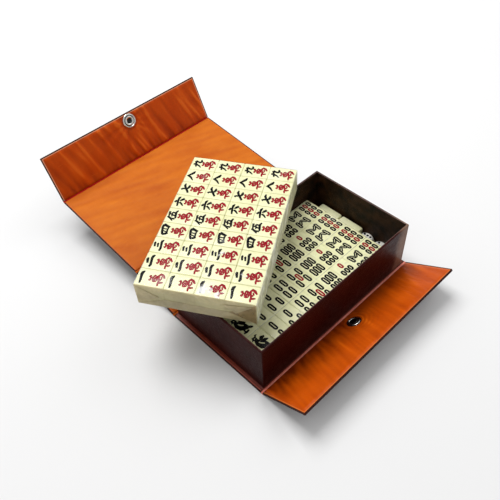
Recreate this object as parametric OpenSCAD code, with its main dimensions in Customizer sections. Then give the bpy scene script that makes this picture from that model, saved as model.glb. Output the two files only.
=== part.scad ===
// Folding book-style case for a mahjong set.
// A covered board tray stands on the base panel of a wrap-round cover with four more panels.
// The lower block of tiles, two spare tiles and two dice lie in the tray.
// The upper block of tiles rests turned across the tray rim.
// Origin: centre of the underside of the base panel. +X runs along the tray's long side,
// +Y points to the spine, -Y to the front flap and +Z up.

/* [Tiles] */
// Length of one tile
tile_length = 30; // [26:0.5:34]
// Width of one tile
tile_width = 21.3; // [19:0.1:24]
// Thickness of one tile
tile_thickness = 14.2; // [12:0.1:17]
// Radius of the tile's rounded edges
tile_edge_radius = 1.8; // [0.8:0.1:3]
// Gap between neighbouring tiles in a block
tile_gap = 0.1; // [0.05:0.01:0.3]
// Thickness of the film round a block
film_thickness = 0.2; // [0.15:0.01:0.4]
// Gap between the film and the tiles
film_gap = 0.1; // [0.05:0.01:0.3]

/* [Dice] */
// Side of one die
die_size = 16; // [12:0.5:18]
// Radius of one pip
pip_radius = 1.5; // [1:0.05:1.6]
// Depth of one pip
pip_depth = 0.4; // [0.2:0.05:0.6]

/* [Tray] */
// Thickness of the tray's wall boards
wall_board = 1.8; // [1.2:0.1:3]
// Thickness of the tray's floor board
floor_board = 2; // [1.2:0.1:3]
// Thickness of the leatherette round the tray
covering = 0.3; // [0.2:0.05:0.6]
// Thickness of the lining inside the tray
tray_lining_sheet = 0.2; // [0.15:0.05:0.6]
// Room in front of the lower block
front_room = 5.6; // [4.6:0.1:10]
// Room behind the lower block
back_room = 0.4; // [0.2:0.1:2]
// Room at the left end of the lower block
left_room = 10.2; // [5:0.1:20]
// Play between the widest piece at the right end and the tray's end wall
end_play = 0.12; // [0.1:0.01:3]
// Room between the stacked blocks and the closed lid
head_room = 2.6; // [1.7:0.1:8]

/* [Cover] */
// Thickness of the cover's boards
cover_board = 1.8; // [1.2:0.1:3]
// Thickness of the outer cover sheet
skin = 0.3; // [0.2:0.05:0.5]
// Thickness of the inner cover sheet
lining = 0.3; // [0.2:0.05:0.5]
// How far the cover stands out past each end of the tray
cover_overhang = 4.7; // [2:0.1:10]
// Distance from a tray wall to the fold line beside it
fold_distance = 2.4; // [2.3:0.1:5]
// Gap between a fold's bead and the panels beside it
crease_gap = 0.3; // [0.2:0.05:0.6]
// How much lower the raised front flap ends than the closed lid
flap_shortfall = 1.6; // [1:0.1:6]
// Length of the closing flap, from its fold to its free edge
closing_flap_length = 59; // [57:0.5:62]

/* [Angles at rest] */
// Angle of the front flap above the ground
front_flap_angle = 30; // [10:1:80]
// Angle of the spine above the ground
spine_angle = 20; // [10:1:28]
// Angle of the lid above the ground
lid_angle = 7; // [2:1:20]
// Angle of the closing flap above the ground
closing_flap_angle = 66; // [20:1:90]
// Turn of the upper block about the vertical
upper_turn = -58.5; // [-75:0.5:-50]
// Place of the upper block's centre along X
upper_x = -41.6; // [-45:0.1:-38]
// Place of the upper block's centre along Y
upper_y = 61.3; // [58:0.1:64]

/* [Snap] */
// Place of the snap along the case
snap_x = 6; // [-80:1:80]
// Distance from the front fold to the stud
stud_distance = 16.8; // [15:0.1:18]
// Radius of the socket case
socket_radius = 9; // [8:0.1:9.2]
// Height of the socket case over the lining
socket_height = 1.5; // [1.3:0.1:2]
// Wall of the socket case
socket_wall = 0.6; // [0.4:0.05:0.7]
// Radius of the socket's hole
socket_hole = 3.6; // [3.3:0.1:4]
// Radius of the stud's nub
nub_radius = 3; // [2.5:0.1:3.1]
// Height of the stud's nub over its flange
nub_height = 1.3; // [1:0.1:1.3]
// Radius of the stud's flange
flange_radius = 8.4; // [7:0.1:8.8]
// Thickness of the stud's flange
flange_thickness = 0.5; // [0.4:0.05:0.6]
// Radius of the washer under the stud's rivet
washer_radius = 8; // [6:0.1:8.4]
// Thickness of that washer
washer_thickness = 0.3; // [0.2:0.05:0.3]
// Radius of a rivet's post
post_radius = 1.6; // [1.2:0.1:2]
// Radial clearance of a rivet's post in its bore
post_clearance = 0.05; // [0.03:0.01:0.1]
// Radius of a rivet's head
rivet_radius = 3; // [2.6:0.1:3.4]
// Height of a rivet's head
rivet_height = 0.5; // [0.4:0.05:0.5]

/* [Seats] */
// Gap under a loose piece that lies on the tray
seat_gap = 0.05; // [0.02:0.01:0.1]
// Gap between a spare tile or die and the lower block
side_gap = 0.3; // [0.3:0.05:0.5]
// Gap from the tray's back wall to the first spare tile
spare_back_gap = 13.65; // [12:0.05:16]
// Gap between the two spare tiles
spare_gap = 1.6; // [0.6:0.1:4]
// Gap from the second spare tile to the first die
spare_die_gap = 0.45; // [0.3:0.05:2]
// Gap between the two dice
dice_gap = 4; // [1:0.1:8]
// Turn of the first die about the vertical
die_1_turn = 1; // [0:1:8]
// Turn of the second die about the vertical
die_2_turn = -1; // [-8:1:0]

/* [Hidden] */
$fn = 64;
// The set's make-up: ranks along a block, tiles side by side and layers in a block
ranks = 9;
tiles_across = 4;
layers = 2;
wind_ranks = [0, 3];
dragon_ranks = [4, 6];
flower_ranks = [7, 8];

film_room = film_gap + film_thickness;
tiles_span = tiles_across * tile_length + (tiles_across - 1) * tile_gap;
ranks_span = ranks * tile_width + (ranks - 1) * tile_gap;
layers_span = layers * tile_thickness + (layers - 1) * tile_gap;
block_depth = tiles_span + 2 * film_room;
block_length = ranks_span + 2 * film_room;
block_height = layers_span + 2 * film_room;

cover_thickness = skin + cover_board + lining;
wall = covering + wall_board + tray_lining_sheet;
die_1_half_span = die_size / 2 * (cos(die_1_turn) + abs(sin(die_1_turn)));
die_2_half_span = die_size / 2 * (cos(die_2_turn) + abs(sin(die_2_turn)));
widest_end_piece = max(tile_thickness, 2 * die_1_half_span, 2 * die_2_half_span);
right_room = side_gap + widest_end_piece + end_play;
inner_length = left_room + block_length + right_room;
inner_depth = front_room + block_depth + back_room;
tray_length = inner_length + 2 * wall;
tray_depth = inner_depth + 2 * wall;
tray_floor_z = cover_thickness + floor_board + tray_lining_sheet;
tray_height = floor_board + tray_lining_sheet + 2 * block_height + head_room;
rim_z = cover_thickness + tray_height;

cover_width = tray_length + 2 * cover_overhang;
fold_radius = cover_thickness / 2;
panel_start = fold_radius + crease_gap;
fold_z = cover_thickness / 2;
fold_y = tray_depth / 2 + fold_distance;
snap_room = flange_thickness + socket_height + 0.1;
spine_length = tray_height + cover_thickness;
lid_length = tray_depth + 2 * fold_distance + cover_thickness + snap_room;
front_flap_length = spine_length - flap_shortfall;
socket_distance = spine_length - stud_distance;
lid_fold_y = fold_y + spine_length * cos(spine_angle);
lid_fold_z = fold_z + spine_length * sin(spine_angle);
closing_fold_y = lid_fold_y + lid_length * cos(lid_angle);
closing_fold_z = lid_fold_z + lid_length * sin(lid_angle);

block_x = -inner_length / 2 + left_room + block_length / 2;
block_y = -inner_depth / 2 + front_room + block_depth / 2;
end_gap_x = block_x + block_length / 2 + side_gap;
spare_1_y = inner_depth / 2 - spare_back_gap - tile_length / 2;
spare_2_y = spare_1_y - tile_length - spare_gap;
die_1_y = spare_2_y - tile_length / 2 - spare_die_gap - die_1_half_span;
die_2_y = die_1_y - die_1_half_span - dice_gap - die_2_half_span;

brown = "#3a1512";
orange = "#c8601c";
grey_board = "#8f8678";
near_black = "#1e1410";
cream = "#efe9cf";
film_clear = [0.9, 0.92, 0.9, 0.3];
steel = "#c9c9c6";
magnet_black = "#181818";
white = "#f4f2ea";

// A box given by its lowest and highest corners
module corners_box(low, high) {
    translate(low) cube(high - low);
}

// The panels of the cover.
// A panel lies in its own XY plane, with its fold at Y = 0 and its inner face up.
// near and far are its ends along Y. free says whether the far end is a free edge.
module panel_board(near, far, free) {
    edge = free ? skin : 0;
    low_y = far > near ? near : far + edge;
    high_y = far > near ? far - edge : near;
    corners_box([-cover_width / 2 + skin, low_y, -cover_thickness / 2 + skin],
                [cover_width / 2 - skin, high_y, cover_thickness / 2 - lining]);
}

module panel_lining(near, far, free) {
    edge = free ? skin : 0;
    low_y = far > near ? near : far + edge;
    high_y = far > near ? far - edge : near;
    corners_box([-cover_width / 2 + skin, low_y, cover_thickness / 2 - lining],
                [cover_width / 2 - skin, high_y, cover_thickness / 2]);
}

// The outer sheet, turned up round the board's ends and free edge
module panel_skin(near, far, free) {
    low_y = min(near, far);
    high_y = max(near, far);
    cut_low_y = free && far < near ? low_y + skin : low_y - 1;
    cut_high_y = free && far > near ? high_y - skin : high_y + 1;
    difference() {
        corners_box([-cover_width / 2, low_y, -cover_thickness / 2],
                    [cover_width / 2, high_y, cover_thickness / 2]);
        corners_box([-cover_width / 2 + skin, cut_low_y, -cover_thickness / 2 + skin],
                    [cover_width / 2 - skin, cut_high_y, cover_thickness / 2 + 1]);
    }
}

// The bead where the two sheets are joined along a fold
module crease() {
    rotate([0, 90, 0])
        cylinder(h = cover_width, r = fold_radius, center = true);
}

// A bore for a rivet's post, right through a panel
module post_bore(along) {
    translate([snap_x, along, 0])
        cylinder(h = 2 * cover_thickness, r = post_radius + post_clearance, center = true);
}

// Where each panel of the cover lies
module at_base() {
    translate([0, 0, fold_z]) children();
}

module at_front_fold() {
    translate([0, -fold_y, fold_z]) rotate([-front_flap_angle, 0, 0]) children();
}

module at_spine_fold() {
    translate([0, fold_y, fold_z]) rotate([spine_angle, 0, 0]) children();
}

module at_lid_fold() {
    translate([0, lid_fold_y, lid_fold_z]) rotate([lid_angle, 0, 0]) children();
}

module at_closing_fold() {
    translate([0, closing_fold_y, closing_fold_z]) rotate([closing_flap_angle, 0, 0]) children();
}

// Base panel and its two creases
base_far = fold_y - panel_start;
module base_board() {
    color(grey_board) at_base() panel_board(-base_far, base_far, false);
}

module base_skin() {
    color(brown) at_base() panel_skin(-base_far, base_far, false);
}

module base_lining() {
    color(orange) at_base() panel_lining(-base_far, base_far, false);
}

module front_crease() {
    color(brown) translate([0, -fold_y, fold_z]) crease();
}

module spine_crease() {
    color(brown) translate([0, fold_y, fold_z]) crease();
}

// Front flap
module front_flap_board() {
    color(grey_board) at_front_fold() difference() {
        panel_board(-panel_start, -front_flap_length, true);
        post_bore(-stud_distance);
    }
}

module front_flap_skin() {
    color(brown) at_front_fold() difference() {
        panel_skin(-panel_start, -front_flap_length, true);
        post_bore(-stud_distance);
    }
}

module front_flap_lining() {
    color(orange) at_front_fold() difference() {
        panel_lining(-panel_start, -front_flap_length, true);
        post_bore(-stud_distance);
    }
}

// Spine
spine_far = spine_length - panel_start;
module spine_board() {
    color(grey_board) at_spine_fold() panel_board(panel_start, spine_far, false);
}

module spine_skin() {
    color(brown) at_spine_fold() panel_skin(panel_start, spine_far, false);
}

module spine_lining() {
    color(orange) at_spine_fold() panel_lining(panel_start, spine_far, false);
}

module lid_crease() {
    color(brown) at_lid_fold() crease();
}

// Lid
lid_far = lid_length - panel_start;
module lid_board() {
    color(grey_board) at_lid_fold() panel_board(panel_start, lid_far, false);
}

module lid_skin() {
    color(brown) at_lid_fold() panel_skin(panel_start, lid_far, false);
}

module lid_lining() {
    color(orange) at_lid_fold() panel_lining(panel_start, lid_far, false);
}

module closing_crease() {
    color(brown) at_closing_fold() crease();
}

// Closing flap
module closing_flap_board() {
    color(grey_board) at_closing_fold() difference() {
        panel_board(panel_start, closing_flap_length, true);
        post_bore(socket_distance);
    }
}

module closing_flap_skin() {
    color(brown) at_closing_fold() difference() {
        panel_skin(panel_start, closing_flap_length, true);
        post_bore(socket_distance);
    }
}

module closing_flap_lining() {
    color(orange) at_closing_fold() difference() {
        panel_lining(panel_start, closing_flap_length, true);
        post_bore(socket_distance);
    }
}

// Tray: four wall boards stand round the floor board on the base panel
board_x = tray_length / 2 - covering;
board_y = tray_depth / 2 - covering;
board_top = rim_z - covering;
module tray_floor_board() {
    color(grey_board) corners_box([-board_x + wall_board, -board_y + wall_board, cover_thickness],
                                  [board_x - wall_board, board_y - wall_board,
                                   cover_thickness + floor_board]);
}

module tray_front_board() {
    color(grey_board) corners_box([-board_x, -board_y, cover_thickness],
                                  [board_x, -board_y + wall_board, board_top]);
}

module tray_back_board() {
    color(grey_board) corners_box([-board_x, board_y - wall_board, cover_thickness],
                                  [board_x, board_y, board_top]);
}

module tray_left_board() {
    color(grey_board) corners_box([-board_x, -board_y + wall_board, cover_thickness],
                                  [-board_x + wall_board, board_y - wall_board, board_top]);
}

module tray_right_board() {
    color(grey_board) corners_box([board_x - wall_board, -board_y + wall_board, cover_thickness],
                                  [board_x, board_y - wall_board, board_top]);
}

// The leatherette round the walls, turned in over the rim
module tray_covering() {
    color(brown) difference() {
        corners_box([-tray_length / 2, -tray_depth / 2, cover_thickness],
                    [tray_length / 2, tray_depth / 2, rim_z]);
        corners_box([-board_x, -board_y, cover_thickness - 1], [board_x, board_y, board_top]);
        corners_box([-inner_length / 2, -inner_depth / 2, cover_thickness - 1],
                    [inner_length / 2, inner_depth / 2, rim_z + 1]);
    }
}

module tray_lining() {
    color(near_black) difference() {
        corners_box([-board_x + wall_board, -board_y + wall_board, cover_thickness + floor_board],
                    [board_x - wall_board, board_y - wall_board, board_top]);
        corners_box([-inner_length / 2, -inner_depth / 2, tray_floor_z],
                    [inner_length / 2, inner_depth / 2, rim_z + 1]);
    }
}

// Snap, stud side. Z = 0 is the front flap's mid-plane, the brown side is down.
module at_stud() {
    at_front_fold() translate([snap_x, -stud_distance, 0]) children();
}

module snap_stud() {
    face = -cover_thickness / 2;
    color(steel) at_stud() rotate_extrude() polygon([
        [post_radius + post_clearance, face], [flange_radius, face],
        [flange_radius, face - flange_thickness + 0.2],
        [flange_radius - 0.2, face - flange_thickness],
        [nub_radius, face - flange_thickness],
        [nub_radius, face - flange_thickness - nub_height + 0.4],
        [nub_radius - 0.4, face - flange_thickness - nub_height],
        [post_radius + post_clearance, face - flange_thickness - nub_height]
    ]);
}

module snap_stud_washer() {
    face = cover_thickness / 2;
    color(magnet_black) at_stud() rotate_extrude() polygon([
        [post_radius + post_clearance, face], [washer_radius, face],
        [washer_radius - 0.2, face + washer_thickness],
        [post_radius + post_clearance, face + washer_thickness]
    ]);
}

// A rivet: a post with a domed head that starts at the height head_z
module rivet(post_end, head_z) {
    side = sign(head_z - post_end);
    rotate_extrude() polygon([
        [0, post_end], [post_radius, post_end], [post_radius, head_z], [rivet_radius, head_z],
        [rivet_radius, head_z + side * 0.3 * rivet_height],
        [0.8 * rivet_radius, head_z + side * 0.7 * rivet_height],
        [0.5 * rivet_radius, head_z + side * rivet_height], [0, head_z + side * rivet_height]
    ]);
}

module snap_stud_rivet() {
    color(steel) at_stud() rivet(-cover_thickness / 2 - flange_thickness,
                                 cover_thickness / 2 + washer_thickness);
}

// Snap, socket side. Z = 0 is the closing flap's mid-plane, the orange side is up.
module at_socket() {
    at_closing_fold() translate([snap_x, socket_distance, 0]) children();
}

module snap_socket_case() {
    face = cover_thickness / 2;
    inner = socket_radius - socket_wall;
    color(steel) at_socket() rotate_extrude() polygon([
        [inner, face], [socket_radius, face], [socket_radius, face + socket_height - 0.4],
        [socket_radius - 0.4, face + socket_height], [socket_hole, face + socket_height],
        [socket_hole, face + socket_height - socket_wall],
        [inner, face + socket_height - socket_wall]
    ]);
}

module snap_magnet() {
    face = cover_thickness / 2;
    color(magnet_black) at_socket() translate([0, 0, face]) difference() {
        cylinder(h = socket_height - socket_wall - 0.1, r = socket_radius - socket_wall - 0.1);
        cylinder(h = 4 * socket_height, r = post_radius + post_clearance, center = true);
    }
}

module snap_socket_rivet() {
    color(steel) at_socket() rivet(cover_thickness / 2 + 0.3, -cover_thickness / 2);
}

// Tiles
module rounded_outline(size_x, size_y) {
    r = tile_edge_radius;
    square([size_x - 2 * r, size_y], center = true);
    square([size_x, size_y - 2 * r], center = true);
    for (side_x = [-1, 1], side_y = [-1, 1])
        translate([side_x * (size_x / 2 - r), side_y * (size_y / 2 - r)]) circle(r);
}

// One tile, centred, with its length along X, its width along Y and its face up
module tile() {
    intersection() {
        linear_extrude(tile_thickness, center = true) rounded_outline(tile_length, tile_width);
        rotate([90, 0, 0])
            linear_extrude(tile_width, center = true) rounded_outline(tile_length, tile_thickness);
        rotate([90, 0, 90])
            linear_extrude(tile_length, center = true) rounded_outline(tile_width, tile_thickness);
    }
}

// Tiles of some ranks in one layer. A block's origin is the centre of its underside,
// with its tiles across X and its ranks along Y.
module block_tiles(first_rank, last_rank, layer) {
    for (rank = [first_rank : last_rank], across = [0 : tiles_across - 1])
        translate([
            (across + 0.5) * tile_length + across * tile_gap - tiles_span / 2,
            (rank + 0.5) * tile_width + rank * tile_gap - ranks_span / 2,
            film_room + (layer + 0.5) * tile_thickness + layer * tile_gap
        ]) tile();
}

// The film, closed all round a block
module block_film() {
    difference() {
        corners_box([-block_depth / 2, -block_length / 2, 0],
                    [block_depth / 2, block_length / 2, block_height]);
        corners_box([-block_depth / 2 + film_thickness, -block_length / 2 + film_thickness,
                     film_thickness],
                    [block_depth / 2 - film_thickness, block_length / 2 - film_thickness,
                     block_height - film_thickness]);
    }
}

// The upper block rests on the rim. The lower block lies on the tray's floor.
module at_upper_block() {
    translate([upper_x, upper_y, rim_z + seat_gap]) rotate([0, 0, upper_turn]) children();
}

module at_lower_block() {
    translate([block_x, block_y, tray_floor_z + seat_gap]) rotate([0, 0, -90]) children();
}

module upper_film() {
    color(film_clear) at_upper_block() block_film();
}

module character_tiles() {
    color(cream) at_upper_block() block_tiles(0, ranks - 1, 1);
}

module dot_tiles() {
    color(cream) at_upper_block() block_tiles(0, ranks - 1, 0);
}

module lower_film() {
    color(film_clear) at_lower_block() block_film();
}

module bamboo_tiles() {
    color(cream) at_lower_block() block_tiles(0, ranks - 1, 1);
}

module wind_tiles() {
    color(cream) at_lower_block() block_tiles(wind_ranks[0], wind_ranks[1], 0);
}

module dragon_tiles() {
    color(cream) at_lower_block() block_tiles(dragon_ranks[0], dragon_ranks[1], 0);
}

module flower_tiles() {
    color(cream) at_lower_block() block_tiles(flower_ranks[0], flower_ranks[1], 0);
}

// A spare tile stands on its long edge, its face towards the tray's end wall
module spare_tile(along_y) {
    translate([end_gap_x + tile_thickness / 2, along_y,
               tray_floor_z + seat_gap + tile_width / 2])
        rotate([90, 0, 90]) tile();
}

module spare_tile_1() {
    color(cream) spare_tile(spare_1_y);
}

module spare_tile_2() {
    color(cream) spare_tile(spare_2_y);
}

// Pips of one number on the XY plane, as counts of the pip spacing
pip_places = [
    [[0, 0]],
    [[-1, -1], [1, 1]],
    [[-1, -1], [0, 0], [1, 1]],
    [[-1, -1], [-1, 1], [1, -1], [1, 1]],
    [[-1, -1], [-1, 1], [0, 0], [1, -1], [1, 1]],
    [[-1, -1], [-1, 0], [-1, 1], [1, -1], [1, 0], [1, 1]]
];
// The turn that brings each number's face up, in the order 1 to 6
pip_turns = [[0, 0, 0], [90, 0, 0], [0, 90, 0], [0, -90, 0], [-90, 0, 0], [180, 0, 0]];
pip_spacing = 0.25 * die_size;
die_corner_radius = 0.68 * die_size;

// One die, centred: a cube with its corners turned off on a sphere, and its pips sunk in
module die() {
    dimple = (pip_radius * pip_radius + pip_depth * pip_depth) / (2 * pip_depth);
    difference() {
        intersection() {
            cube(die_size, center = true);
            sphere(r = die_corner_radius);
        }
        for (number = [0 : 5], place = pip_places[number])
            rotate(pip_turns[number])
                translate([place[0] * pip_spacing, place[1] * pip_spacing,
                           die_size / 2 + dimple - pip_depth])
                    sphere(r = dimple);
    }
}

module at_die(along_y, turn, half_span) {
    translate([end_gap_x + half_span, along_y, tray_floor_z + seat_gap + die_size / 2])
        rotate([0, 0, turn]) children();
}

module die_1() {
    color(white) at_die(die_1_y, die_1_turn, die_1_half_span) rotate([180, 0, 0]) die();
}

module die_2() {
    color(white) at_die(die_2_y, die_2_turn, die_2_half_span) rotate([0, 90, 0]) die();
}

base_board();
base_skin();
base_lining();
front_crease();
spine_crease();
tray_floor_board();
tray_front_board();
tray_back_board();
tray_left_board();
tray_right_board();
tray_covering();
tray_lining();
front_flap_board();
front_flap_skin();
front_flap_lining();
snap_stud();
snap_stud_washer();
snap_stud_rivet();
spine_board();
spine_skin();
spine_lining();
lid_crease();
lid_board();
lid_skin();
lid_lining();
closing_crease();
closing_flap_board();
closing_flap_skin();
closing_flap_lining();
snap_socket_case();
snap_magnet();
snap_socket_rivet();
upper_film();
character_tiles();
dot_tiles();
lower_film();
bamboo_tiles();
wind_tiles();
dragon_tiles();
flower_tiles();
spare_tile_1();
spare_tile_2();
die_1();
die_2();
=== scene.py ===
import math

import bmesh
import bpy
from mathutils import Matrix, Vector, noise
from mathutils.geometry import delaunay_2d_cdt


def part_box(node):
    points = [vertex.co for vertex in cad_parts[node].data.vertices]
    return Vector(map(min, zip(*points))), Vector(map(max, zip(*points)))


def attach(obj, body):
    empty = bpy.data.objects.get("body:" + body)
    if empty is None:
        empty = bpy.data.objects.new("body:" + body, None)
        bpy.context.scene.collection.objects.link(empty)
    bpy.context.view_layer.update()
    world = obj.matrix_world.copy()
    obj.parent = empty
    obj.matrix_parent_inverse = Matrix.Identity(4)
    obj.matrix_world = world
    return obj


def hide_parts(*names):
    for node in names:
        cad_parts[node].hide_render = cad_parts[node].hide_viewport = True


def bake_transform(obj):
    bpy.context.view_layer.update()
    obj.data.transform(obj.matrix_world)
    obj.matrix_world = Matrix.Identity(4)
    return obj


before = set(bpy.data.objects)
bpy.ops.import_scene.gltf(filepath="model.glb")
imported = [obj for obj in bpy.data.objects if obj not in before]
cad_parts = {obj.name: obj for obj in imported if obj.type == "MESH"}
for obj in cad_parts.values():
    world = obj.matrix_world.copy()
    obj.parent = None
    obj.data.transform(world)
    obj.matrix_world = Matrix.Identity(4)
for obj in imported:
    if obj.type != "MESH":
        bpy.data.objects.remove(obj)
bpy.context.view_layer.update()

# Sizes of the case in millimetres, as in the CAD source
MM = 0.001
COVER_WIDTH = 233.997
COVER_HALF_THICKNESS = 1.2
SHEET = 0.3
PANEL_START = 1.5
FOLD_Y = 68.15
FOLD_Z = 1.2
SPINE_LENGTH = 65.4
LID_LENGTH = 140.8
FLAP_LENGTH = 59.0
FRONT_FLAP_LENGTH = 63.8
SNAP_X = 6.0
STUD_DISTANCE = 16.8
SOCKET_DISTANCE = 48.6
TRAY_LENGTH = 224.597
TRAY_DEPTH = 131.5
TRAY_FLOOR_Z = 4.65
RIM_Z = 65.4
TILE_LENGTH = 30.0
TILE_WIDTH = 21.3
TILE_THICKNESS = 14.2
TILE_EDGE = 1.8
PACKED_EDGE = 1.0
TILE_GAP = 0.1
FILM_ROOM = 0.3
RANKS = 9
ACROSS = 4
BLOCK_DEPTH, BLOCK_LENGTH, BLOCK_HEIGHT = (
    count * size + (count - 1) * TILE_GAP + 2 * FILM_ROOM
    for count, size in ((ACROSS, TILE_LENGTH), (RANKS, TILE_WIDTH), (2, TILE_THICKNESS)))
END_GAP_X = 93.602
DIE_SIZE = 16.0
TOUCH = 0.01


def place(x, y, z, turn_z=0.0, turn_x=0.0):
    """A place in the case at x, y, z, turned about Z and then about its own X, in degrees."""
    return (Matrix.Translation((x, y, z)) @ Matrix.Rotation(math.radians(turn_z), 4, "Z")
            @ Matrix.Rotation(math.radians(turn_x), 4, "X"))


AT_BASE = place(0, 0, FOLD_Z)
AT_FRONT_FLAP = place(0, -FOLD_Y, FOLD_Z, 180, 30)
AT_SPINE = place(0, FOLD_Y, FOLD_Z, 0, 20)
LID_FOLD = AT_SPINE @ Vector((0, SPINE_LENGTH, 0))
AT_LID = place(*LID_FOLD, 0, 7)
CLOSING_FOLD = AT_LID @ Vector((0, LID_LENGTH, 0))
AT_CLOSING_FLAP = place(*CLOSING_FOLD, 0, 66)
AT_UPPER_BLOCK = place(-41.6, 61.3, 65.45, -58.5)
AT_LOWER_BLOCK = place(-3.248, 2.6, TRAY_FLOOR_Z, -90)


# Materials

def srgb(red, green, blue):
    """A colour given as 0 to 255 on screen, as the linear colour that Blender takes."""
    linear = [c / 12.92 if c <= 0.04045 else ((c + 0.055) / 1.055) ** 2.4
              for c in (red / 255, green / 255, blue / 255)]
    return (*linear, 1.0)


def feed(tree, node, inputs):
    """Gives each input of a node its value, or links a socket to it."""
    for key, value in inputs.items():
        if isinstance(value, bpy.types.NodeSocket):
            tree.links.new(value, node.inputs[key])
        else:
            node.inputs[key].default_value = value


def add(tree, kind, inputs=None, **settings):
    """A new shader node of this kind, with its inputs fed."""
    made = tree.nodes.new("ShaderNode" + kind)
    for name, value in settings.items():
        setattr(made, name, value)
    feed(tree, made, inputs or {})
    return made


def math_node(tree, operation, first, second, clamp=False):
    return add(tree, "Math", {0: first, 1: second},
               operation=operation, use_clamp=clamp).outputs[0]


def times(tree, first, second):
    return math_node(tree, "MULTIPLY", first, second)


def plus(tree, first, second, clamp=False):
    return math_node(tree, "ADD", first, second, clamp)


def remap(tree, value, low, high, new_low=0.0, new_high=1.0):
    """The value between low and high, spread over new_low to new_high."""
    return add(tree, "MapRange", {"Value": value, "From Min": low, "From Max": high,
               "To Min": new_low, "To Max": new_high}, interpolation_type="SMOOTHSTEP").outputs[0]


def blend_colour(tree, factor, first, second):
    return add(tree, "Mix", {0: factor, 6: first, 7: second}, data_type="RGBA").outputs[2]


def partly(tree, mask, share, first, second):
    """The second colour over the first where the mask is, at some share of its strength."""
    return blend_colour(tree, times(tree, mask, share), first, second)


def noise_node(tree, vector, scale, detail=2.0, distortion=0.0):
    """A noise texture's outputs: value and colour."""
    return add(tree, "TexNoise", {"Vector": vector, "Scale": scale, "Detail": detail,
                                  "Distortion": distortion}).outputs


def new_group(name, inputs, outputs):
    """An empty shader node group with float or vector inputs and float outputs."""
    group = bpy.data.node_groups.new(name, "ShaderNodeTree")
    for socket, default in inputs.items():
        kind = "NodeSocketVector" if default is None else "NodeSocketFloat"
        made = group.interface.new_socket(socket, in_out="INPUT", socket_type=kind)
        if default is not None:
            made.default_value = default
    for socket in outputs:
        group.interface.new_socket(socket, in_out="OUTPUT", socket_type="NodeSocketFloat")
    start = group.nodes.new("NodeGroupInput")
    return group, start.outputs, group.nodes.new("NodeGroupOutput")


def use_group(tree, group, **inputs):
    return add(tree, "Group", inputs, node_tree=group).outputs


def make_mottle():
    """Cloudy variation: a broad noise as a mask from 0 to 1, and a fine noise."""
    group, given, end = new_group("mottle", {"Vector": None, "Scale": 10.0, "Contrast": 1.0},
                                  ["Mask", "Fine"])
    broad = noise_node(group, given["Vector"], given["Scale"], 4.0)
    fine = noise_node(group, given["Vector"], times(group, given["Scale"], 9.0), 3.0)
    spread = times(group, math_node(group, "SUBTRACT", broad[0], 0.5), given["Contrast"])
    feed(group, end, {"Mask": plus(group, spread, 0.5, clamp=True), "Fine": fine[0]})
    return group


def make_leather_grain():
    """Pressed leather grain: cells with sunk joints, over fine pores."""
    group, given, end = new_group("leather grain", {"Vector": None, "Scale": 900.0},
                                  ["Height", "Joints"])
    spot, scale = given["Vector"], given["Scale"]
    swirl = noise_node(group, spot, times(group, scale, 0.4))
    shift = add(group, "VectorMath", {0: swirl[1], 3: 0.0012}, operation="SCALE")
    moved = add(group, "VectorMath", {0: spot, 1: shift.outputs[0]}, operation="ADD")
    cells = add(group, "TexVoronoi", {"Vector": moved.outputs[0], "Scale": scale},
                feature="DISTANCE_TO_EDGE")
    joints = remap(group, cells.outputs["Distance"], 0.0, 0.22)
    pores = noise_node(group, spot, times(group, scale, 3.0))
    feed(group, end, {"Height": plus(group, joints, times(group, pores[0], 0.3)),
                      "Joints": joints})
    return group


def make_scuffs():
    """Sparse hairline scratches and dust specks, as one mask."""
    group, given, end = new_group("scuffs", {"Vector": None, "Scale": 60.0, "Amount": 0.5},
                                  ["Mask"])
    long_way = add(group, "Mapping", {"Vector": given["Vector"],
                   "Scale": (1.0, 14.0, 5.0), "Rotation": (0.2, 0.1, 0.6)})
    lines = noise_node(group, long_way.outputs[0], given["Scale"])
    thin = remap(group, lines[0], 0.66, 0.74)
    specks = add(group, "TexVoronoi", {"Vector": given["Vector"],
                 "Scale": times(group, given["Scale"], 5.0)})
    dots = remap(group, specks.outputs["Distance"], 0.09, 0.04)
    both = math_node(group, "MAXIMUM", thin, dots)
    feed(group, end, {"Mask": times(group, both, given["Amount"])})
    return group


def make_crinkle():
    """Fine creases of thin plastic, longer one way, as a height."""
    group, given, end = new_group("crinkle", {"Vector": None, "Scale": 40.0}, ["Height"])
    spot, scale = given["Vector"], given["Scale"]
    stretched = add(group, "Mapping", {"Vector": spot, "Scale": (1.0, 0.22, 1.0)})
    folds = noise_node(group, stretched.outputs[0], scale, 3.0, 0.6)
    small = noise_node(group, spot, times(group, scale, 4.0))
    feed(group, end, {"Height": plus(group, folds[0], times(group, small[0], 0.25))})
    return group


MOTTLE = make_mottle()
LEATHER_GRAIN = make_leather_grain()
SCUFFS = make_scuffs()
CRINKLE = make_crinkle()


def new_material(name):
    material = bpy.data.materials.new(name)
    material.use_nodes = True
    tree = material.node_tree
    return material, tree, tree.nodes["Principled BSDF"]


def object_vector(tree):
    return add(tree, "TexCoord").outputs["Object"]


def begin(name, scale, contrast, flat=False):
    """A new material with its coordinates, flat on a sheet or the object's, and its mottle."""
    material, tree, shader = new_material(name)
    if flat:
        spot = add(tree, "UVMap", uv_map="sheet").outputs[0]
    else:
        spot = object_vector(tree)
    cloud = use_group(tree, MOTTLE, Vector=spot, Scale=scale, Contrast=contrast)
    return material, tree, shader, spot, cloud


def uneven(tree, cloud, low, high):
    """A roughness that drifts between low and high with the mottle's fine noise."""
    return remap(tree, cloud["Fine"], 0.3, 0.7, low, high)


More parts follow.
